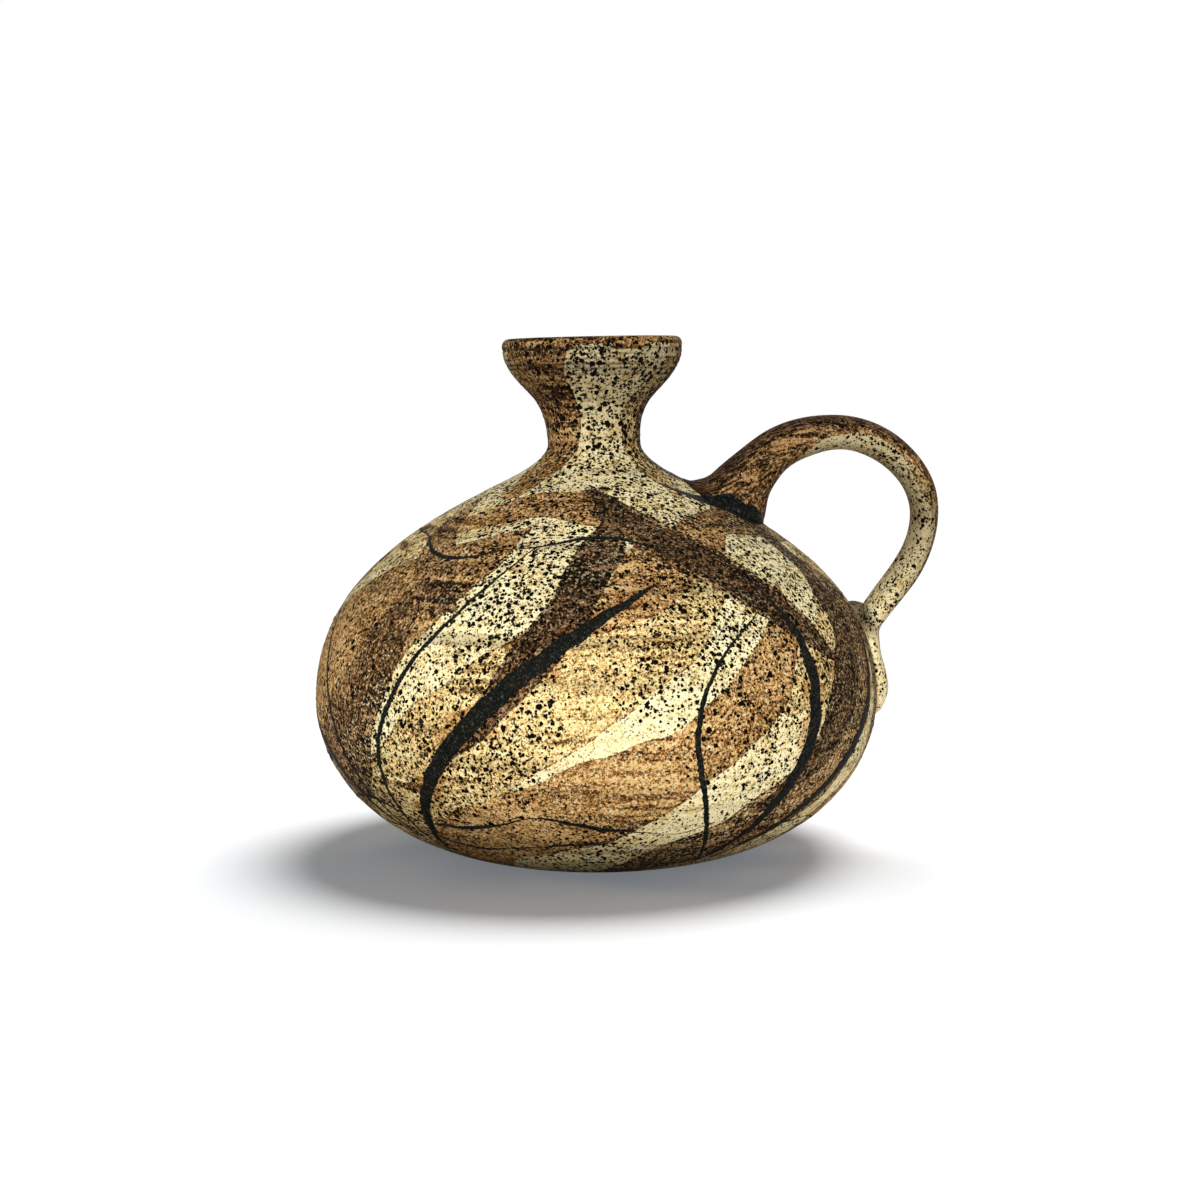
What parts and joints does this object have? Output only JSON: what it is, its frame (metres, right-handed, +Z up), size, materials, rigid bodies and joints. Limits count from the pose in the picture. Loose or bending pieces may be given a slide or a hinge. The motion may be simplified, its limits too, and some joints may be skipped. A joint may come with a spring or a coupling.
{
  "type": "handled vase",
  "caption": "Squat thrown stoneware vase with a wide low belly, a waisted neck, a cup mouth and a pulled strap handle, for holding stems or water.",
  "frame": {"origin": "middle of the flat base, on the axis that the vessel is thrown about", "axes": "+Z up through the mouth, +X towards the handle, +Y to the back when the handle is on the right"},
  "size_m": [0.2311, 0.2084, 0.19],
  "materials": {
    "stoneware": "matte cream stoneware with brown oxide washes and dark spatter",
    "washed_stoneware": "matte stoneware under a brown oxide wash with dark spatter",
    "black_slip": "satin blue-black slip"
  },
  "bodies": {
    "root": {"lower_body": "stoneware", "upper_body": "stoneware", "neck": "stoneware", "mouth_cup": "stoneware", "handle": "washed_stoneware", "upper_root_coil": "black_slip", "lower_root_wad": "washed_stoneware"}
  },
  "joints": []
}
